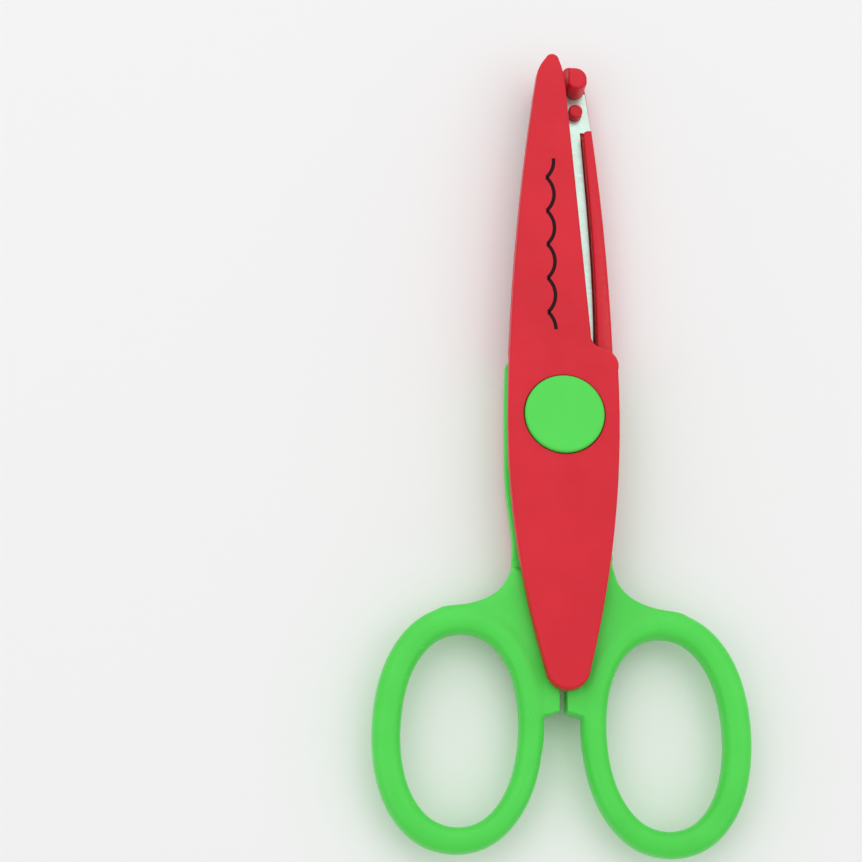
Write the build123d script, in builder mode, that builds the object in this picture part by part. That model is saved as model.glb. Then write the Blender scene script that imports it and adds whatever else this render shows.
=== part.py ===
from build123d import *
import os
from math import cos, radians, sin, sqrt

# Decorative edge scissors. Two twin halves turn on one pivot. The lower half is the upper
# half turned over about Y, its cover a little smaller, so every moulding is described once, in
# a half frame: x across, y towards the tip, w outward from the mating plane, halves closed.
# Row frame: origin on the pivot axis at the rest face, +Y to the tip, +Z up. Millimetres.

# Stack heights, measured outward from the mating plane
MID_HEIGHT = 6.0          # mating plane above the face the scissors lie on
CAP_TOP = 6.0             # outer face of a pivot cap
COVER_TOP = 5.3           # outer face of a cover
HEAD_FACE = 2.7           # cover meets the handle arm
BACKING_FACE = 1.55       # cover behind the corrugated steel
ARM_FACE = 0.2            # arm's inner face
STEEL_FACE = 0.15         # steel's inner face round the pivot, and the waves' middle height
BASE_FACE = 0.9           # inner face of the flat steel beside the waves
STEEL = 0.6               # steel thickness
RIB_REACH = 1.6           # spine rib past the mating plane
NUB_REACH = 5.0           # stop block past the mating plane
WEB_REACH = 2.4           # handle web, each side of the mating plane
RING_REACH = 3.2          # finger ring, each side of the mating plane

# Plan sizes
HALF_OPENING = 0.625      # each half's turn from closed at rest, degrees
HEAD_WIDTH = 11.2         # half width of a cover's head
SWEEP_RADIUS = 17.0       # the head stays inside this, what passes the mating plane outside it
TAIL_END = -55.2
NO_TRIM = (0.0, 0.0)      # flank and tail of the upper cover, as drawn
UNDER_TRIM = (0.6, 1.4)   # the lower cover's flank and tail are drawn in by this much
RIB_INSET = 0.45          # rib behind the cover's spine side
WAVE_PITCH = 7.3          # scallop pitch along the blade
WAVE_DEPTH = 1.5          # cusp to crown
WAVES = 8
WAVE_START = 17.3         # radius where the corrugation begins
BLADE_END = 72.0
GAP = 0.3                 # plain clearance between mouldings and steel

# Pivot
PIVOT_RADIUS = 2.5
RUNNING = 0.05            # radial clearance of the turning half
CAP_RADIUS = 8.0
CAP_WALL = 1.2
CAP_SEAT_RADIUS = 8.15
CAP_ROOF = 0.75
WASHER_RADIUS = 4.6
WASHER_TOP = 3.2
WASHER_LIFT = 0.03        # film of grease under each washer
SPRING_TOP = 3.75
SPRING_STOCK = 0.3
FLANGE_RADIUS = 4.2
FLANGE_TOP = 4.6
THREAD_RADIUS = 2.0
NUT_TOP = 5.15
NUT_FLAT = 3.5            # half the width across flats
SLOT_WIDTH = 1.0
SLOT_DEPTH = 0.7

# Small features
TANG_RADIUS = 12.5        # where the blade's section begins
TANG_END = -11.0          # locating hole of the steel tang
TANG_PEG_RADIUS = 1.5
COVER_PEG_RADIUS = 1.5
COVER_PEGS = [(3.5, -16.0), (4.5, -27.0)]
PEG_CENTRE = (-2.43, 67.29)
PEG_RADIUS = 1.5
PEG_REACH = 1.25
RING_EDGE = 2.1           # rounding of a finger ring
RING_CENTRE = (19.7, -62.9)
RING_SIZE = (16.7, 24.15)
HOLE_CENTRE = (19.35, -63.05)
HOLE_SIZE = (11.4, 18.8)
RING_LEAN = 1.8           # ring's long axis leans towards the centre line, degrees
FULLNESS = 2.15           # exponent of the rings' ovals, 2 would be an ellipse

half_turn = radians(HALF_OPENING)
UPPER = Plane(
    origin=(0, 0, MID_HEIGHT), x_dir=(cos(half_turn), sin(half_turn), 0), z_dir=(0, 0, 1)
)
LOWER = Plane(
    origin=(0, 0, MID_HEIGHT), x_dir=(-cos(half_turn), sin(half_turn), 0), z_dir=(0, 0, -1)
)

os.makedirs("parts", exist_ok=True)


def save(part, name):
    """Label a finished piece and write its STEP file."""
    part.label = name
    export_step(part, f"parts/{name}.step")


def pivot_axis(half):
    """Pivot axis, pointing outward from one half."""
    return Axis(half.origin, half.z_dir)


def cover_outline(trim):
    """Rim of a cover in lines and arcs: cutting side, shoulder, flanks, tail, spine and tip."""
    slim, short = trim
    tail_end = TAIL_END + short
    with BuildLine() as rim:
        cutting_side = Line((1.4, 69.5), (5.65, 17.0))
        inner_corner = ThreePointArc(cutting_side @ 1, (6.15, 15.2), (7.6, 14.2))
        shoulder = Line(inner_corner @ 1, (9.4 - slim, 13.5))
        outer_corner = ThreePointArc(shoulder @ 1, (10.65 - slim, 12.3), (11.05 - slim, 9.5))
        flank = ThreePointArc(outer_corner @ 1, (9.95 - slim, -20.6), (4.4, tail_end + 3.9))
        tail = ThreePointArc(flank @ 1, (0.1, tail_end), (-4.25, tail_end + 3.9))
        left_flank = ThreePointArc(tail @ 1, (-9.85, -24.4), (-HEAD_WIDTH, 3))
        spine = ThreePointArc(left_flank @ 1, (-9.05, 38.5), (-4.5, 74.2))
        tip_left = ThreePointArc(spine @ 1, (-3.85, 75.7), (-2.75, 77.3))
        tip = ThreePointArc(tip_left @ 1, (-1.25, 78.2), (0.0, 77.0))
        ThreePointArc(tip @ 1, (0.95, 73.7), cutting_side @ 0)
    return rim.edges()


def rib_outline():
    """Spine rib: along the steel, a squared end near the tip, and a step in from the cover's side."""
    with BuildLine() as rim:
        inner = Spline((-7.0, 14), (-6.6, 27.8), (-5.55, 44), (-3.95, 61.5))
        corner = ThreePointArc(inner @ 1, (-4.3, 62.5), (-5.2, 62.9))
        end = Line(corner @ 1, (-6.2 + RIB_INSET, 62.9))
        outer = ThreePointArc(end @ 1, (-9.05 + RIB_INSET, 38.5), (-10.78 + RIB_INSET, 14))
        Line(outer @ 1, inner @ 0)
    return rim.edges()


def nub_outline(margin):
    """Stop block: straight inner wall, rounded foot and outer corner."""
    with BuildLine() as rim:
        inner_wall = Line((-0.4 + margin, 72.1), (-0.4 + margin, 75.4))
        head = Line(inner_wall @ 1, (-1.9, 75.4))
        corner = ThreePointArc(head @ 1, (-3.55, 74.7), (-4.25 - margin, 73.05))
        outer_wall = Line(corner @ 1, (-4.25 - margin, 72.1))
        ThreePointArc(outer_wall @ 1, (-2.3, 70.75 - margin), inner_wall @ 0)
    return rim.edges()


def blade_outline():
    """Steel strip: cutting edge, bare end round the stop block, and spine edge in the rib's bay."""
    with BuildLine() as rim:
        cutting_edge = Line((6.0, 15.6), (1.5, BLADE_END))
        end = Line(cutting_edge @ 1, (-4.6, BLADE_END))
        bare = Line(end @ 1, (-6.0, 63.2))
        step = Line(bare @ 1, (-3.6, 63.2))
        spine = Spline(step @ 1, (-5.25, 44), (-6.3, 27.8), (-6.6, 15.6))
        Line(spine @ 1, cutting_edge @ 0)
    return rim.edges()


def wave_zone(inset):
    """Everything on the cutting side of the line where the waves begin."""
    with BuildLine() as rim:
        Polyline((1.8 - inset, 15), (0.15 - inset, BLADE_END + 1), (9, BLADE_END + 1), (9, 15), close=True)
    return rim.edges()


def tang_outline(margin):
    """Flat root of the steel: from the blade round the pivot to the locating hole."""
    with BuildLine() as rim:
        left = Line((-6.0 - margin, 17.0), (-6.4 - margin, 0))
        lower_left = Line(left @ 1, (-3.2 - margin, TANG_END))
        end = ThreePointArc(lower_left @ 1, (0, TANG_END - 3.2 - margin), (3.2 + margin, TANG_END))
        lower_right = Line(end @ 1, (6.4 + margin, 0))
        right = Line(lower_right @ 1, (5.7 + margin, 17.0))
        Line(right @ 1, left @ 0)
    return rim.edges()


def arm_outline():
    """Thin arm that crosses the other half, from under the head to the web."""
    with BuildLine() as rim:
        outer = Spline((11.35, 11.6), (11.4, -3), (10.5, -18), (9.5, -28.6), (10.4, -32.6))
        crotch = Line(outer @ 1, (0.3, -42))
        inner = Spline(crotch @ 1, (-3.5, -31), (-9.2, -15), (-10.7, 0), (-10.3, 11.6))
        ThreePointArc(inner @ 1, (0, 12.6), outer @ 0)
    return rim.edges()


def web_outline():
    """Thick web between arm, finger ring and stop tab."""
    with BuildLine() as rim:
        root = Polyline((0.05, -39.5), (5.8, -32.0), (9.5, -30.4))
        flare_ends = [(0.35, -1), (1, -0.25)]
        flare = Spline(root @ 1, (11.9, -35), (14.9, -37.1), (18.4, -38.3), (24, -39.2), tangents=flare_ends)
        band = Spline(flare @ 1, (20, -41.5), (11.8, -45.6), (8.0, -52), (5.6, -60.2))
        Polyline(band @ 1, (3.0, -59.9), (0.05, -59.1), root @ 0)
    return rim.edges()


def oval(centre, size):
    """Closed full oval, leaning towards the centre line."""
    lean = radians(RING_LEAN)
    points = []
    for step in range(16):
        angle = radians(22.5 * step)
        x = size[0] * abs(cos(angle)) ** (2 / FULLNESS) * (1 if cos(angle) > 0 else -1)
        y = size[1] * abs(sin(angle)) ** (2 / FULLNESS) * (1 if sin(angle) > 0 else -1)
        points.append((centre[0] + x * cos(lean) - y * sin(lean), centre[1] + x * sin(lean) + y * cos(lean)))
    with BuildLine() as rim:
        Spline(*points, periodic=True)
    return rim.edges()


def make_cover(half, trim):
    """Red cover: solid over the steel, hollow over the arm, with spine rib, stop block and pegs."""
    with BuildPart() as cover:
        with BuildSketch(half.offset(HEAD_FACE)):
            make_face(cover_outline(trim))
        extrude(amount=COVER_TOP - HEAD_FACE)
        with BuildSketch(half.offset(BACKING_FACE)):
            make_face(cover_outline(trim))
            Circle(SWEEP_RADIUS, mode=Mode.SUBTRACT)
            with Locations((0, TAIL_END)):
                Rectangle(4 * HEAD_WIDTH, -2 * TAIL_END, mode=Mode.SUBTRACT)
        extrude(amount=HEAD_FACE - BACKING_FACE)
        with BuildSketch(half.offset(-RIB_REACH)):
            make_face(cover_outline(trim))
            make_face(rib_outline(), mode=Mode.INTERSECT)
            Circle(SWEEP_RADIUS, mode=Mode.SUBTRACT)
        extrude(amount=BACKING_FACE + RIB_REACH)
        with BuildSketch(half.offset(-NUB_REACH)):
            make_face(nub_outline(0))
        extrude(amount=BACKING_FACE + NUB_REACH)
        with BuildSketch(half.offset(-PEG_REACH)):
            with Locations(PEG_CENTRE):
                Circle(PEG_RADIUS)
        extrude(amount=BACKING_FACE + PEG_REACH)
        with BuildSketch(half.offset(HEAD_FACE)):
            Circle(CAP_SEAT_RADIUS)
        extrude(amount=COVER_TOP - HEAD_FACE, mode=Mode.SUBTRACT)
        with BuildSketch(half.offset(ARM_FACE + STEEL + GAP)):
            with Locations(*COVER_PEGS):
                Circle(COVER_PEG_RADIUS)
        extrude(amount=COVER_TOP - ARM_FACE - STEEL - 2 * GAP)
    return cover.part


def scallops(rise, level):
    """Waves along a radius at one level, from the flat root to past the tip, rising out or in."""
    radius = ((WAVE_PITCH / 2) ** 2 + WAVE_DEPTH**2) / (2 * WAVE_DEPTH)
    lead_in = WAVE_PITCH / 2 - sqrt(radius**2 - (radius - WAVE_DEPTH / 2) ** 2)
    lead_sag = WAVE_DEPTH / 2 - (radius - sqrt(radius**2 - (WAVE_PITCH / 2 - lead_in / 2) ** 2))
    crown = level + rise * WAVE_DEPTH / 2
    cusp = level - rise * WAVE_DEPTH / 2
    start = WAVE_START + lead_in
    with BuildLine() as waves:
        Line((TANG_RADIUS, level), (WAVE_START, level))
        ThreePointArc((WAVE_START, level), (start - lead_in / 2, level + rise * lead_sag), (start, cusp))
        for wave in range(WAVES):
            end = start + WAVE_PITCH
            ThreePointArc((start, cusp), (start + WAVE_PITCH / 2, crown), (end, cusp))
            start = end
    return waves.edges(), (start, cusp)


def wave_section(rise):
    """Section of the waved steel along a radius."""
    inner, inner_end = scallops(rise, STEEL_FACE)
    outer, outer_end = scallops(rise, STEEL_FACE + STEEL)
    with BuildLine() as ends:
        Line((TANG_RADIUS, STEEL_FACE), (TANG_RADIUS, STEEL_FACE + STEEL))
        Line(inner_end, outer_end)
    return inner + outer + ends.edges()


def riser_section(rise):
    """Section of the wall that joins the waves to the flat steel beside them."""
    inner, inner_end = scallops(rise, STEEL_FACE)
    top = BASE_FACE + STEEL
    with BuildLine() as ends:
        Polyline((TANG_RADIUS, STEEL_FACE), (TANG_RADIUS, top), (inner_end[0], top), inner_end)
    return inner + ends.edges()


def make_waves(half, section, near, far):
    """Round the section about the pivot and keep the band between two insets of the wave zone."""
    with BuildPart() as waves:
        with BuildSketch(Plane(origin=half.origin, x_dir=half.y_dir, z_dir=half.x_dir)):
            make_face(section)
        revolve(axis=pivot_axis(half))
        with BuildSketch(half.offset(-NUB_REACH)):
            make_face(blade_outline())
            make_face(wave_zone(near), mode=Mode.INTERSECT)
            if far is not None:
                make_face(wave_zone(far), mode=Mode.SUBTRACT)
        extrude(amount=2 * NUB_REACH, mode=Mode.INTERSECT)
    return waves.part


def make_blade(half, rise, bore):
    """Steel blade: waves along the cutting edge, flat steel behind them, and a holed root."""
    waves = make_waves(half, wave_section(rise), STEEL / 2, None)
    riser = make_waves(half, riser_section(rise), STEEL, 0)
    with BuildPart() as blade:
        with BuildSketch(half.offset(BASE_FACE)):
            make_face(blade_outline())
            make_face(wave_zone(STEEL / 2), mode=Mode.SUBTRACT)
        extrude(amount=STEEL)
        with BuildSketch(half.offset(STEEL_FACE)):
            make_face(blade_outline())
            make_face(wave_zone(0), mode=Mode.SUBTRACT)
            Circle(WAVE_START + STEEL / 2, mode=Mode.INTERSECT)
        extrude(amount=BASE_FACE + STEEL - STEEL_FACE)
        add(waves)
        add(riser)
        with BuildSketch(half.offset(STEEL_FACE)):
            make_face(tang_outline(0))
        extrude(amount=STEEL)
        with BuildSketch(half.offset(-NUB_REACH)):
            make_face(nub_outline(RUNNING))
            Circle(bore)
            with Locations((0, TANG_END)):
                Circle(TANG_PEG_RADIUS + RUNNING)
            with Locations(PEG_CENTRE):
                Circle(PEG_RADIUS + RUNNING)
        extrude(amount=2 * NUB_REACH, mode=Mode.SUBTRACT)
    return blade.part


def make_handle(half, bore):
    """Green handle: thin crossing arm, thick web with its stop tab, and rounded finger ring."""
    with BuildPart() as handle:
        with BuildSketch(half.offset(-RING_REACH)):
            make_face(oval(RING_CENTRE, RING_SIZE))
            make_face(oval(HOLE_CENTRE, HOLE_SIZE), mode=Mode.SUBTRACT)
        extrude(amount=2 * RING_REACH)
        rims = handle.faces().filter_by(GeomType.PLANE).edges()
        fillet(rims, radius=RING_EDGE)
        with BuildSketch(half.offset(-WEB_REACH)):
            make_face(web_outline())
        extrude(amount=2 * WEB_REACH)
        with BuildSketch(half.offset(ARM_FACE)):
            make_face(arm_outline())
        extrude(amount=HEAD_FACE - ARM_FACE)
        with BuildSketch(half.offset(ARM_FACE)):
            make_face(tang_outline(GAP / 2))
        extrude(amount=STEEL + RUNNING, mode=Mode.SUBTRACT)
        with BuildSketch(half.offset(ARM_FACE)):
            with Locations((0, TANG_END)):
                Circle(TANG_PEG_RADIUS)
        extrude(amount=HEAD_FACE - ARM_FACE)
        with BuildSketch(half.offset(ARM_FACE)):
            Circle(bore)
            with Locations(*COVER_PEGS):
                Circle(COVER_PEG_RADIUS + RUNNING)
        extrude(amount=HEAD_FACE, mode=Mode.SUBTRACT)
    return handle.part


def make_cap(half):
    """Green pivot cap: a shallow cup with a rounded rim, standing on the arm."""
    with BuildPart() as cap:
        with BuildSketch(half.offset(HEAD_FACE)):
            Circle(CAP_RADIUS)
        extrude(amount=CAP_TOP - HEAD_FACE)
        top_rim = cap.edges().sort_by(pivot_axis(half))[-1]
        fillet(top_rim, radius=CAP_ROOF - 0.05)
        with BuildSketch(half.offset(HEAD_FACE)):
            Circle(CAP_RADIUS - CAP_WALL)
        extrude(amount=CAP_TOP - CAP_ROOF - HEAD_FACE, mode=Mode.SUBTRACT)
    return cap.part


def make_washer(half, bore):
    """Flat washer on an arm's outer face."""
    with BuildPart() as washer:
        with BuildSketch(half.offset(HEAD_FACE + WASHER_LIFT)):
            Circle(WASHER_RADIUS)
            Circle(bore, mode=Mode.SUBTRACT)
        extrude(amount=WASHER_TOP - HEAD_FACE - WASHER_LIFT)
    return washer.part


def make_disc_spring(half):
    """Coned spring washer that keeps the blades together."""
    inner = PIVOT_RADIUS + RUNNING
    outer = WASHER_RADIUS - 0.2
    with BuildPart() as spring:
        with BuildSketch(Plane(origin=half.origin, x_dir=half.y_dir, z_dir=half.x_dir)):
            with BuildLine():
                Polyline(
                    (inner, SPRING_TOP - SPRING_STOCK),
                    (outer, WASHER_TOP),
                    (outer, WASHER_TOP + SPRING_STOCK),
                    (inner, SPRING_TOP),
                    close=True,
                )
            make_face()
        revolve(axis=pivot_axis(half))
    return spring.part


def make_screw():
    """Shouldered pivot screw, from the slotted flange under the lower cap to the nut's thread."""
    with BuildPart() as screw:
        with BuildSketch(Plane.XY.offset(MID_HEIGHT - FLANGE_TOP)):
            Circle(FLANGE_RADIUS)
        extrude(amount=FLANGE_TOP - WASHER_TOP)
        chamfer(screw.edges().sort_by(Axis.Z)[0], length=0.3)
        with BuildSketch(Plane.XY.offset(MID_HEIGHT - WASHER_TOP)):
            Circle(PIVOT_RADIUS)
        extrude(amount=WASHER_TOP + SPRING_TOP)
        with BuildSketch(Plane.XY.offset(MID_HEIGHT + SPRING_TOP)):
            Circle(THREAD_RADIUS)
        extrude(amount=NUT_TOP - SPRING_TOP)
        chamfer(screw.edges().sort_by(Axis.Z)[-1], length=0.3)
        with BuildSketch(Plane.XY.offset(MID_HEIGHT - FLANGE_TOP)):
            Rectangle(2 * FLANGE_RADIUS, SLOT_WIDTH)
        extrude(amount=SLOT_DEPTH, mode=Mode.SUBTRACT)
    return screw.part


def make_nut():
    """Hexagon nut that closes the pivot under the upper cap."""
    with BuildPart() as nut:
        with BuildSketch(Plane.XY.offset(MID_HEIGHT + SPRING_TOP)):
            RegularPolygon(NUT_FLAT, 6, major_radius=False)
            Circle(THREAD_RADIUS, mode=Mode.SUBTRACT)
        extrude(amount=NUT_TOP - SPRING_TOP)
    return nut.part


turning = PIVOT_RADIUS + RUNNING
for side, hand, half, rise, bore, trim in (
    ("upper", "right", UPPER, 1, turning, NO_TRIM),
    ("lower", "left", LOWER, -1, PIVOT_RADIUS, UNDER_TRIM),
):
    save(make_cover(half, trim), f"{side}_cover")
    save(make_blade(half, rise, bore), f"{side}_blade")
    save(make_handle(half, bore), f"{hand}_handle")
    save(make_cap(half), f"{side}_cap")
    save(make_washer(half, turning), f"{side}_washer")
save(make_disc_spring(UPPER), "disc_spring")
save(make_screw(), "pivot_screw")
save(make_nut(), "pivot_nut")
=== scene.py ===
"""Decorative edge scissors: moulded covers, handles, steel and print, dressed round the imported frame."""

import logging
import math
from dataclasses import dataclass, field
from enum import Enum
from typing import Iterable, Optional, Union

import bmesh
import bpy
from mathutils import Matrix, Vector


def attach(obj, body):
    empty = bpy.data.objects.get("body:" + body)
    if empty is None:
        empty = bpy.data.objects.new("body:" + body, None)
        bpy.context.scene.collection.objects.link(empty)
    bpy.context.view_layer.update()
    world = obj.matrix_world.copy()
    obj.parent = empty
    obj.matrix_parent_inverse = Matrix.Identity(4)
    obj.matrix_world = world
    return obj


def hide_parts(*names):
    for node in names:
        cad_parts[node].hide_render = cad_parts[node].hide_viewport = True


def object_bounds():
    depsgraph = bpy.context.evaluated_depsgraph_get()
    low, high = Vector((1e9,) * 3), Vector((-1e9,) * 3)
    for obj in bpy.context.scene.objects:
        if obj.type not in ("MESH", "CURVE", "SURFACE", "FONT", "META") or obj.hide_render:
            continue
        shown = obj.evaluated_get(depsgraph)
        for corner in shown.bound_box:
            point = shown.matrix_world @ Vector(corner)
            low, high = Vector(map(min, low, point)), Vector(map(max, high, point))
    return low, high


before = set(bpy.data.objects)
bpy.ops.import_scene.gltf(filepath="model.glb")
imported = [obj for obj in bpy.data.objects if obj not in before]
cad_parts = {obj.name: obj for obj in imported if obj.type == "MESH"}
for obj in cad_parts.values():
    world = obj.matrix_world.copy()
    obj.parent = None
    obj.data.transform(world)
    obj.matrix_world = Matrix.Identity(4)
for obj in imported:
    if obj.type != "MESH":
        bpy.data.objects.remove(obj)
CAD_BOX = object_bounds()

log = logging.getLogger("edge_scissors")

MM = 0.001
HALF_OPENING = math.radians(0.625)  # each half's turn from closed at rest
MID_HEIGHT = CAD_BOX[1].z / 2  # the mating plane
WELD_DISTANCE = 2e-6
BUMP_STRENGTH = 0.6
FLAT_WEIGHT = 100
WHITE = (1, 1, 1, 1)


class Side(Enum):
    """The two halves. Each is the other one turned over about Y."""

    UPPER = "upper"
    LOWER = "lower"

    @property
    def body(self) -> str:
        """CAD body that this half rides on."""
        return f"{self.value}_half"

    @property
    def handle_node(self) -> str:
        """CAD node of the handle that belongs to this half."""
        return "right_handle" if self is Side.UPPER else "left_handle"

    @property
    def placing(self) -> Matrix:
        """From the half frame in millimetres, w outward, to the row frame in metres."""
        flip = 1.0 if self is Side.UPPER else -1.0
        across = Vector((flip * math.cos(HALF_OPENING), math.sin(HALF_OPENING), 0))
        outward = Vector((0, 0, flip))
        along = outward.cross(across)
        turn = Matrix((across, along, outward)).transposed().to_4x4()
        return Matrix.Translation((0, 0, MID_HEIGHT)) @ turn @ Matrix.Scale(MM, 4)


# --- finishes ---------------------------------------------------------------------------------


def new_material(name: str) -> tuple[bpy.types.Material, bpy.types.ShaderNodeTree, bpy.types.ShaderNode]:
    """Start a node material.

    Args:
        name: the material's name.

    Returns:
        The material, its node tree and its main shader.
    """
    material = bpy.data.materials.new(name)
    material.use_nodes = True
    tree = material.node_tree
    return material, tree, tree.nodes["Principled BSDF"]


def noise(
    tree: bpy.types.ShaderNodeTree, scale: float, detail: float = 3.0, stretch: Optional[tuple] = None
) -> bpy.types.NodeSocket:
    """Noise on the object's own coordinates.

    Args:
        tree: the tree to add to.
        scale: noise cells in a metre.
        detail: octaves.
        stretch: scale along X, Y and Z, for grain.

    Returns:
        The noise's value socket.
    """
    place = tree.nodes.new("ShaderNodeTexCoord")
    texture = tree.nodes.new("ShaderNodeTexNoise")
    texture.inputs["Scale"].default_value = scale
    texture.inputs["Detail"].default_value = detail
    mapping = tree.nodes.new("ShaderNodeMapping")
    mapping.inputs["Scale"].default_value = stretch or (1, 1, 1)
    tree.links.new(place.outputs["Object"], mapping.inputs["Vector"])
    tree.links.new(mapping.outputs["Vector"], texture.inputs["Vector"])
    return texture.outputs["Fac"]


def remap(
    tree: bpy.types.ShaderNodeTree, value: bpy.types.NodeSocket, low: float, high: float,
    start: float = 0.3, end: float = 0.7,
) -> bpy.types.NodeSocket:
    """Map a span of a value onto another span.

    Args:
        tree: the tree to add to.
        value: the value to map.
        low: what start becomes.
        high: what end becomes.
        start: the value's lower bound.
        end: the value's upper bound.

    Returns:
        The mapped value's socket.
    """
    node = tree.nodes.new("ShaderNodeMapRange")
    node.inputs["From Min"].default_value = start
    node.inputs["From Max"].default_value = end
    node.inputs["To Min"].default_value = low
    node.inputs["To Max"].default_value = high
    tree.links.new(value, node.inputs["Value"])
    return node.outputs["Result"]


def blend_colours(
    tree: bpy.types.ShaderNodeTree, factor: bpy.types.NodeSocket,
    first: Union[bpy.types.NodeSocket, tuple], second: tuple,
) -> bpy.types.NodeSocket:
    """Mix two colours by a factor.

    Args:
        tree: the tree to add to.
        factor: 0 gives the first colour, 1 the second.
        first: a colour, or the socket of one.
        second: a colour.

    Returns:
        The mixed colour's socket.
    """
    node = tree.nodes.new("ShaderNodeMix")
    node.data_type = "RGBA"
    tree.links.new(factor, node.inputs["Factor"])
    if isinstance(first, bpy.types.NodeSocket):
        tree.links.new(first, node.inputs["A"])
    else:
        node.inputs["A"].default_value = (*first, 1)
    node.inputs["B"].default_value = (*second, 1)
    return node.outputs["Result"]


def relief(
    tree: bpy.types.ShaderNodeTree, shader: bpy.types.ShaderNode,
    layers: Iterable[tuple[bpy.types.NodeSocket, float]],
) -> None:
    """Stack bump layers on a shader.

    Args:
        tree: the tree to add to.
        shader: the main shader.
        layers: pairs of a height socket and its depth in metres.
    """
    previous = None
    for height, depth in layers:
        bump = tree.nodes.new("ShaderNodeBump")
        bump.inputs["Distance"].default_value = depth
        bump.inputs["Strength"].default_value = BUMP_STRENGTH
        tree.links.new(height, bump.inputs["Height"])
        if previous is not None:
            tree.links.new(previous, bump.inputs["Normal"])
        previous = bump.outputs["Normal"]
    tree.links.new(previous, shader.inputs["Normal"])


@dataclass(frozen=True)
class MouldedPlastic:
    """Injection-moulded plastic: flow clouds, fine spark-eroded grain, scuffed edges."""

    name: str
    colour: tuple[float, float, float]
    deep: tuple[float, float, float]
    scuffed: tuple[float, float, float]
    roughness: float
    cloud_scale: float = 70
    scuff_scale: float = 900
    haze_scale: float = 260
    grain_scale: float = 5200
    grain_depth: float = 0.00002
    sink_scale: float = 160
    sink_depth: float = 0.00008
    haze: tuple[float, float] = (-0.05, 0.07)
    wear: float = 0.35
    wear_span: tuple[float, float] = (0.53, 0.62)
    ior: float = 1.5
    gloss: float = 0.3

    def make(self) -> bpy.types.Material:
        """Build the node material.

        Returns:
            The material.
        """
        material, tree, shader = new_material(self.name)
        clouds = remap(tree, noise(tree, self.cloud_scale, 4), 0.0, 1.0)
        colour = blend_colours(tree, clouds, self.colour, self.deep)
        geometry = tree.nodes.new("ShaderNodeNewGeometry")
        edges = remap(tree, geometry.outputs["Pointiness"], 0.0, self.wear, *self.wear_span)
        broken = tree.nodes.new("ShaderNodeMath")
        broken.operation = "MULTIPLY"
        tree.links.new(edges, broken.inputs[0])
        tree.links.new(remap(tree, noise(tree, self.scuff_scale, 2), 0.2, 1.0), broken.inputs[1])
        colour = blend_colours(tree, broken.outputs["Value"], colour, self.scuffed)
        tree.links.new(colour, shader.inputs["Base Color"])
        low, high = (self.roughness + shift for shift in self.haze)
        haze = remap(tree, noise(tree, self.haze_scale, 5), low, high)
        tree.links.new(haze, shader.inputs["Roughness"])
        shader.inputs["IOR"].default_value = self.ior
        shader.inputs["Specular IOR Level"].default_value = self.gloss
        grain = (noise(tree, self.grain_scale, 2), self.grain_depth)
        sinks = (noise(tree, self.sink_scale, 2), self.sink_depth)
        relief(tree, shader, [grain, sinks])
        return material


@dataclass(frozen=True)
class GroundSteel:
    """Steel with grinding lines across the blade, faint handling stains and a satin gloss."""

    name: str
    colour: tuple[float, float, float]
    stained: tuple[float, float, float]
    roughness: float
    haze: tuple[float, float] = (-0.08, 0.1)
    stain_scale: float = 240
    stain_share: float = 0.6
    stain_span: tuple[float, float] = (0.45, 0.75)
    line_scale: float = 7000
    line_depth: float = 0.000012
    grain: tuple[float, float, float] = (0.08, 1.0, 0.08)

    def make(self) -> bpy.types.Material:
        """Build the node material.

        Returns:
            The material.
        """
        material, tree, shader = new_material(self.name)
        stains = remap(tree, noise(tree, self.stain_scale, 4), 0.0, self.stain_share, *self.stain_span)
        tree.links.new(blend_colours(tree, stains, self.colour, self.stained), shader.inputs["Base Color"])
        shader.inputs["Metallic"].default_value = 1.0
        lines = noise(tree, self.line_scale, 3, self.grain)
        low, high = (self.roughness + shift for shift in self.haze)
        tree.links.new(remap(tree, lines, low, high), shader.inputs["Roughness"])
        relief(tree, shader, [(lines, self.line_depth)])
        return material


@dataclass(frozen=True)
class PrintInk:
    """Pad-printed ink: nearly black, a little uneven, thinner in spots."""

    name: str
    colour: tuple[float, float, float]
    thin: tuple[float, float, float]
    speckle_scale: float = 2600
    speckle_share: float = 0.5
    speckle_span: tuple[float, float] = (0.5, 0.75)
    haze_scale: float = 900
    haze: tuple[float, float] = (0.35, 0.5)
    grain_scale: float = 3000
    grain_depth: float = 0.00001
    gloss: float = 0.12

    def make(self) -> bpy.types.Material:
        """Build the node material.

        Returns:
            The material.
        """
        material, tree, shader = new_material(self.name)
        spots = noise(tree, self.speckle_scale, 3)
        speckle = remap(tree, spots, 0.0, self.speckle_share, *self.speckle_span)
        tree.links.new(blend_colours(tree, speckle, self.colour, self.thin), shader.inputs["Base Color"])
        haze = remap(tree, noise(tree, self.haze_scale, 2), *self.haze)
        tree.links.new(haze, shader.inputs["Roughness"])
        shader.inputs["Specular IOR Level"].default_value = self.gloss
        relief(tree, shader, [(noise(tree, self.grain_scale, 2), self.grain_depth)])
        return material


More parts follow.
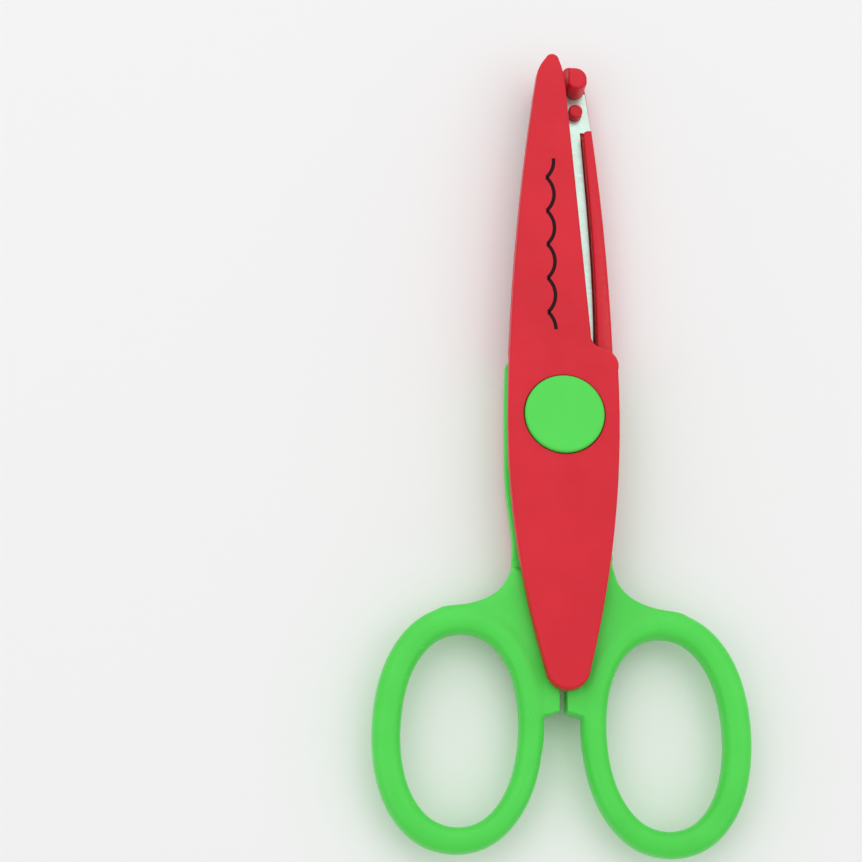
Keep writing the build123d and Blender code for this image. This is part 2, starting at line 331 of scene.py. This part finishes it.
RED = MouldedPlastic(
    "red_cover_plastic", (0.72, 0.012, 0.03), (0.65, 0.009, 0.024), (0.8, 0.08, 0.09), 0.42
)
GREEN = MouldedPlastic(
    "green_handle_plastic", (0.085, 0.73, 0.085), (0.07, 0.66, 0.07), (0.26, 0.82, 0.26), 0.3
)
CAP_GREEN = MouldedPlastic(
    "green_cap_plastic", (0.09, 0.74, 0.09), (0.08, 0.69, 0.08), (0.26, 0.82, 0.26), 0.34
)
BLADE_STEEL = GroundSteel("ground_blade_steel", (0.58, 0.74, 0.66), (0.48, 0.58, 0.52), 0.34)
PIVOT_STEEL = GroundSteel("turned_pivot_steel", (0.62, 0.63, 0.64), (0.5, 0.5, 0.5), 0.32)
SPRING_STEEL = GroundSteel("blued_spring_steel", (0.35, 0.37, 0.4), (0.28, 0.26, 0.25), 0.36)
INK = PrintInk("printed_wave_ink", (0.018, 0.003, 0.005), (0.06, 0.004, 0.008))


# --- mesh helpers -----------------------------------------------------------------------------


def copy_of(node: str) -> bmesh.types.BMesh:
    """Copy a CAD node's mesh and weld it.

    Args:
        node: the CAD node's name.

    Returns:
        The copy, in row-frame metres.
    """
    work = bmesh.new()
    work.from_mesh(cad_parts[node].data)
    bmesh.ops.remove_doubles(work, verts=work.verts, dist=WELD_DISTANCE)
    return work


def sharpen(work: bmesh.types.BMesh, limit: float) -> None:
    """Shade smooth and keep the sharper edges crisp.

    Args:
        work: the mesh.
        limit: the angle in degrees from which an edge is crisp.
    """
    for face in work.faces:
        face.smooth = True
    for edge in work.edges:
        edge.smooth = edge.calc_face_angle(0.0) < math.radians(limit)


def make_piece(
    work: bmesh.types.BMesh, name: str, body: str, material: bpy.types.Material,
    replaces: tuple[str, ...] = (), weighted: bool = False,
) -> bpy.types.Object:
    """Turn a finished bmesh into a piece of the object.

    Args:
        work: the mesh in row-frame metres. It is freed.
        name: the piece's name.
        body: the CAD body that it rides on.
        material: the finish.
        replaces: CAD nodes that it stands for.
        weighted: shade flat areas flat beside their rounded edges.

    Returns:
        The new object.
    """
    mesh = bpy.data.meshes.new(name)
    work.to_mesh(mesh)
    work.free()
    mesh.materials.append(material)
    piece = bpy.data.objects.new(name, mesh)
    bpy.context.scene.collection.objects.link(piece)
    if weighted:
        normals = piece.modifiers.new("flat areas", "WEIGHTED_NORMAL")
        normals.keep_sharp = True
        normals.weight = FLAT_WEIGHT
    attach(piece, body)
    if replaces:
        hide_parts(*replaces)
    log.info("%s: %d faces on %s", name, len(mesh.polygons), body)
    return piece


def dress(node: str, material: bpy.types.Material) -> None:
    """Give a CAD node its finish on its object's own slots.

    Args:
        node: the CAD node's name.
        material: the finish.
    """
    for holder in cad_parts[node].material_slots:
        holder.link = "OBJECT"
        holder.material = material
    log.info("%s: dressed in %s", node, material.name)


# --- sub-assemblies ---------------------------------------------------------------------------


@dataclass
class Cover:
    """Red moulded cover with a softly rounded rim, stop block, rib and blade peg. Sizes in mm."""

    side: Side
    top: float = 5.3
    rim_rounding: float = 0.5
    seat_radius: float = 8.15
    seat_rounding: float = 0.2
    nub_reach: float = 5.0
    nub_rounding: float = 0.6
    rib_reach: float = 1.6
    rib_rounding: float = 0.55
    peg_reach: float = 1.25
    peg_rounding: float = 0.5
    tolerance: float = 0.04
    flat_angle: float = 0.6
    sharp: float = 32.0
    wide_segments: int = 6
    narrow_segments: int = 3
    narrow_width: float = 0.4

    def _rounding(self, edge: bmesh.types.BMEdge) -> float:
        """Tell how far an edge is rounded.

        Args:
            edge: an edge of the mesh in the half frame.

        Returns:
            The width of the rounding, 0 for none.
        """
        if edge.calc_face_angle(0.0) < math.radians(self.sharp):
            return 0.0
        heights = [vert.co.z for vert in edge.verts]
        reach = max(vert.co.xy.length for vert in edge.verts)

        def at(level: float) -> bool:
            """Whether the whole edge lies at a level."""
            return all(abs(height - level) < self.tolerance for height in heights)

        if at(self.top):
            on_seat = reach < self.seat_radius + self.tolerance
            return self.seat_rounding if on_seat else self.rim_rounding
        if at(-self.nub_reach):
            return self.nub_rounding
        if at(-self.rib_reach):
            return self.rib_rounding
        if at(-self.peg_reach):
            return self.peg_rounding
        return 0.0

    def build(self, material: bpy.types.Material) -> bpy.types.Object:
        """Round the moulding's edges and dress it.

        Args:
            material: the finish.

        Returns:
            The finished piece.
        """
        node = f"{self.side.value}_cover"
        work = copy_of(node)
        bmesh.ops.transform(work, matrix=self.side.placing.inverted(), verts=work.verts)
        flat = math.radians(self.flat_angle)
        bmesh.ops.dissolve_limit(work, angle_limit=flat, verts=work.verts, edges=work.edges)
        widths = {
            self.rim_rounding, self.seat_rounding, self.nub_rounding, self.rib_rounding, self.peg_rounding,
        }
        for width in sorted(widths, reverse=True):
            edges = [edge for edge in work.edges if self._rounding(edge) == width]
            segments = self.wide_segments if width > self.narrow_width else self.narrow_segments
            bmesh.ops.bevel(
                work, geom=edges, offset=width, offset_type="OFFSET", segments=segments,
                profile=0.5, affect="EDGES", material=-1, clamp_overlap=True,
            )
        bmesh.ops.transform(work, matrix=self.side.placing, verts=work.verts)
        sharpen(work, self.sharp)
        return make_piece(
            work, f"{node}_moulding", self.side.body, material, (node,), weighted=True
        )


@dataclass
class Handle:
    """Green handle: the web flows into a round-sectioned finger ring. Sizes in mm."""

    side: Side
    voxel: float = 0.28
    skin_passes: int = 2
    flow_passes: int = 58
    flow_start: float = -29.0
    tab_reach: tuple[float, float] = (3.2, -53.0)

    def _flows(self, place: Vector) -> bool:
        """Whether a place in the half frame is in the web or ring, clear of the crisp stop tab."""
        in_tab = place.x < self.tab_reach[0] and place.y < self.tab_reach[1]
        return place.y < self.flow_start and not in_tab

    @staticmethod
    def _soften(skin: bmesh.types.BMesh, verts: list[bmesh.types.BMVert], passes: int) -> None:
        """Smooth some vertices several times.

        Args:
            skin: the mesh.
            verts: the vertices to move.
            passes: how many times.
        """
        for _ in range(passes):
            bmesh.ops.smooth_vert(
                skin, verts=verts, factor=0.5, use_axis_x=True, use_axis_y=True, use_axis_z=True
            )

    def build(self, material: bpy.types.Material) -> bpy.types.Object:
        """Fuse the plain shapes into one skin and let their meeting lines flow.

        Args:
            material: the finish.

        Returns:
            The finished piece.
        """
        node = self.side.handle_node
        plain = copy_of(node)
        rough = bpy.data.meshes.new(f"{node}_rough")
        plain.to_mesh(rough)
        plain.free()
        block = bpy.data.objects.new(f"{node}_rough", rough)
        bpy.context.scene.collection.objects.link(block)
        remesh = block.modifiers.new("fuse", "REMESH")
        remesh.mode = "VOXEL"
        remesh.voxel_size = self.voxel * MM
        bpy.context.view_layer.update()
        evaluated = block.evaluated_get(bpy.context.evaluated_depsgraph_get())
        skin = bmesh.new()
        skin.from_mesh(evaluated.to_mesh())
        evaluated.to_mesh_clear()
        bpy.data.objects.remove(block)
        self._soften(skin, list(skin.verts), self.skin_passes)
        to_half_frame = self.side.placing.inverted()
        flowing = [vert for vert in skin.verts if self._flows(to_half_frame @ vert.co)]
        self._soften(skin, flowing, self.flow_passes)
        for face in skin.faces:
            face.smooth = True
        return make_piece(skin, f"{node}_moulding", self.side.body, material, (node,))


@dataclass
class PivotCap:
    """Green cap over one end of the pivot: a turned cup with a soft rim. Sizes in mm."""

    side: Side
    radius: float = 8.0
    top: float = 6.0
    foot: float = 2.75
    wall: float = 1.2
    roof: float = 0.75
    rim: float = 0.6
    shoulder: float = 3  # the top's edge loop, in rims from the side
    foot_bevel: float = 0.2
    rim_steps: int = 8
    sharp: float = 35.0
    steps: int = 128

    def build(self, material: bpy.types.Material) -> bpy.types.Object:
        """Spin the cup's section about the pivot axis.

        Args:
            material: the finish.

        Returns:
            The finished piece.
        """
        work = bmesh.new()
        start = work.verts.new((0, 0, self.top))
        section = [start, work.verts.new((self.radius - self.shoulder * self.rim, 0, self.top))]
        for step in range(self.rim_steps + 1):
            angle = math.pi / 2 * (1 - step / self.rim_steps)
            section.append(work.verts.new((
                self.radius - self.rim + self.rim * math.cos(angle), 0,
                self.top - self.rim + self.rim * math.sin(angle),
            )))
        inner = self.radius - self.wall
        for place in (
            (self.radius, self.foot + self.foot_bevel), (self.radius - self.foot_bevel, self.foot),
            (inner, self.foot), (inner, self.top - self.roof), (0, self.top - self.roof),
        ):
            section.append(work.verts.new((place[0], 0, place[1])))
        edges = [work.edges.new(pair) for pair in zip(section, section[1:])]
        bmesh.ops.spin(
            work, geom=section + edges, cent=(0, 0, 0), axis=(0, 0, 1), angle=2 * math.pi,
            steps=self.steps, use_merge=True, dvec=(0, 0, 0),
        )
        bmesh.ops.remove_doubles(work, verts=work.verts, dist=WELD_DISTANCE / MM)
        bmesh.ops.transform(work, matrix=self.side.placing, verts=work.verts)
        bmesh.ops.recalc_face_normals(work, faces=work.faces)
        sharpen(work, self.sharp)
        node = f"{self.side.value}_cap"
        return make_piece(
            work, f"{node}_moulding", self.side.body, material, (node,), weighted=True
        )


@dataclass
class Blade:
    """Corrugated steel strip with crisp arrises."""

    side: Side
    sharp: float = 28.0

    def build(self, material: bpy.types.Material) -> bpy.types.Object:
        """Weld the strip, keep its arrises crisp and dress it.

        Args:
            material: the finish.

        Returns:
            The finished piece.
        """
        node = f"{self.side.value}_blade"
        work = copy_of(node)
        sharpen(work, self.sharp)
        return make_piece(work, f"{node}_strip", self.side.body, material, (node,))


@dataclass
class WavePrint:
    """The cut's scallops, printed as a line along the upper cover. Sizes in mm, in the half frame."""

    pitch: float = 7.27
    depth: float = 1.55
    stroke: float = 0.74
    thickness: float = 0.02
    sink: float = 0.004
    face: float = 5.3
    cusp_x: float = -3.05
    first_cusp_y: float = 21.35
    full_arcs: int = 4
    run_on: float = 0.6
    steps: int = 14

    def _arc(self, work: bmesh.types.BMesh, start: float, end: float, middle: float) -> None:
        """Spin one stretch of the stroke.

        Args:
            work: the mesh to add to.
            start: where along the blade the stretch begins.
            end: where it ends.
            middle: the height of the arc's centre along the blade.
        """
        radius = ((self.pitch / 2) ** 2 + self.depth**2) / (2 * self.depth)
        centre = Vector((self.cusp_x + self.depth - radius, middle, self.face))
        first = math.asin((start - middle) / radius)
        last = math.asin((end - middle) / radius)
        ray = Vector((math.cos(first), math.sin(first), 0))
        shifts = (-self.stroke / 2, self.stroke / 2)
        ends = [work.verts.new(centre + ray * (radius + shift)) for shift in shifts]
        edge = work.edges.new(ends)
        bmesh.ops.spin(
            work, geom=ends + [edge], cent=centre, axis=(0, 0, 1), angle=last - first,
            steps=self.steps, use_merge=False, dvec=(0, 0, 0),
        )

    def build(self, material: bpy.types.Material) -> bpy.types.Object:
        """Print half an arc, the full arcs and another half arc.

        Args:
            material: the ink.

        Returns:
            The finished print.
        """
        work = bmesh.new()
        half = self.pitch / 2
        self._arc(work, self.first_cusp_y - half, self.first_cusp_y, self.first_cusp_y - half)
        for arc in range(self.full_arcs):
            start = self.first_cusp_y + arc * self.pitch
            self._arc(work, start, start + self.pitch, start + half)
        last_cusp = self.first_cusp_y + self.full_arcs * self.pitch
        self._arc(work, last_cusp, last_cusp + half + self.run_on, last_cusp + half)
        bmesh.ops.recalc_face_normals(work, faces=work.faces)
        bmesh.ops.solidify(work, geom=work.faces, thickness=self.thickness)
        low = min(vert.co.z for vert in work.verts)
        bmesh.ops.translate(work, verts=work.verts, vec=(0, 0, self.face - self.sink - low))
        bmesh.ops.transform(work, matrix=Side.UPPER.placing, verts=work.verts)
        bmesh.ops.recalc_face_normals(work, faces=work.faces)
        return make_piece(work, "wave_print", Side.UPPER.body, material)


@dataclass
class PivotSet:
    """The hidden steel pieces of the pivot."""

    steel: tuple[str, ...] = ("pivot_screw", "pivot_nut", "upper_washer", "lower_washer")
    spring: str = "disc_spring"

    def build(self, steel: bpy.types.Material, spring: bpy.types.Material) -> None:
        """Dress the CAD pieces where they stand.

        Args:
            steel: the turned steel's finish.
            spring: the spring steel's finish.
        """
        for node in self.steel:
            dress(node, steel)
        dress(self.spring, spring)


# --- studio -----------------------------------------------------------------------------------


@dataclass
class Studio:
    """Pale floor, soft light mostly from the tip's side, and the camera. Metres and degrees."""

    camera_place: tuple[float, float, float] = (-0.06487, -0.13494, 0.4647)
    camera_back: tuple[float, float] = (-5.0, -16.0)
    camera_turn: float = 0.65
    lens: float = 100.0  # millimetres
    clip_start: float = 0.01
    floor_size: float = 3.0
    floor_colour: tuple[float, float, float, float] = (0.9, 0.9, 0.9, 1)
    floor_roughness: float = 0.9
    # place, size and watts of each lamp
    lamps: list[tuple[tuple[float, float, float], float, float]] = field(default_factory=lambda: [
        ((-0.1, 0.55, 0.75), 1.05, 2.5),
        ((0.5, -0.05, 0.7), 0.6, 0.7),
        ((-0.6, -0.2, 0.6), 0.6, 0.7),
    ])
    room_light: float = 0.7

    def floor(self) -> None:
        """Lay a pale matt floor under the lower cap."""
        work = bmesh.new()
        bmesh.ops.create_grid(work, x_segments=1, y_segments=1, size=self.floor_size)
        mesh = bpy.data.meshes.new("floor")
        work.to_mesh(mesh)
        work.free()
        material, _tree, shader = new_material("pale_floor")
        shader.inputs["Base Color"].default_value = self.floor_colour
        shader.inputs["Roughness"].default_value = self.floor_roughness
        mesh.materials.append(material)
        floor = bpy.data.objects.new("floor", mesh)
        bpy.context.scene.collection.objects.link(floor)

    def lights(self) -> None:
        """Hang the soft boxes, all turned to the pivot, and light the room evenly."""
        for number, (place, size, power) in enumerate(self.lamps):
            lamp = bpy.data.lights.new(f"softbox_{number}", "AREA")
            lamp.size = size
            lamp.energy = power
            holder = bpy.data.objects.new(lamp.name, lamp)
            holder.location = place
            holder.rotation_euler = (-Vector(place)).to_track_quat("-Z", "Y").to_euler()
            bpy.context.scene.collection.objects.link(holder)
        world = bpy.data.worlds.new("studio")
        world.use_nodes = True
        sky = world.node_tree.nodes["Background"]
        sky.inputs["Color"].default_value = WHITE
        sky.inputs["Strength"].default_value = self.room_light
        bpy.context.scene.world = world
        bpy.context.scene.view_settings.view_transform = "Standard"

    def camera(self) -> None:
        """Look down at the scissors from a little below and left of the pivot."""
        lean_x, lean_y = (math.tan(math.radians(angle)) for angle in self.camera_back)
        turn = Matrix.Rotation(math.radians(self.camera_turn), 3, "Z")
        back = (turn @ Vector((lean_x, lean_y, 1))).normalized()
        up = turn @ Vector((0, 1, 0))
        right = up.cross(back).normalized()
        axes = Matrix((right, back.cross(right), back)).transposed()
        data = bpy.data.cameras.new("camera")
        data.lens = self.lens
        data.clip_start = self.clip_start
        holder = bpy.data.objects.new("camera", data)
        holder.matrix_world = Matrix.Translation(self.camera_place) @ axes.to_4x4()
        bpy.context.scene.collection.objects.link(holder)
        bpy.context.scene.camera = holder

    def build(self) -> None:
        """Set up the whole studio."""
        self.floor()
        self.lights()
        self.camera()


def main() -> None:
    """Build the scissors in order, then the studio."""
    logging.basicConfig(level=logging.INFO, format="%(message)s")
    red, green, cap_green = RED.make(), GREEN.make(), CAP_GREEN.make()
    blade_steel = BLADE_STEEL.make()
    for side in Side:
        Cover(side).build(red)
        Handle(side).build(green)
        PivotCap(side).build(cap_green)
        Blade(side).build(blade_steel)
    WavePrint().build(INK.make())
    PivotSet().build(PIVOT_STEEL.make(), SPRING_STEEL.make())
    Studio().build()


if __name__ == "__main__":
    main()
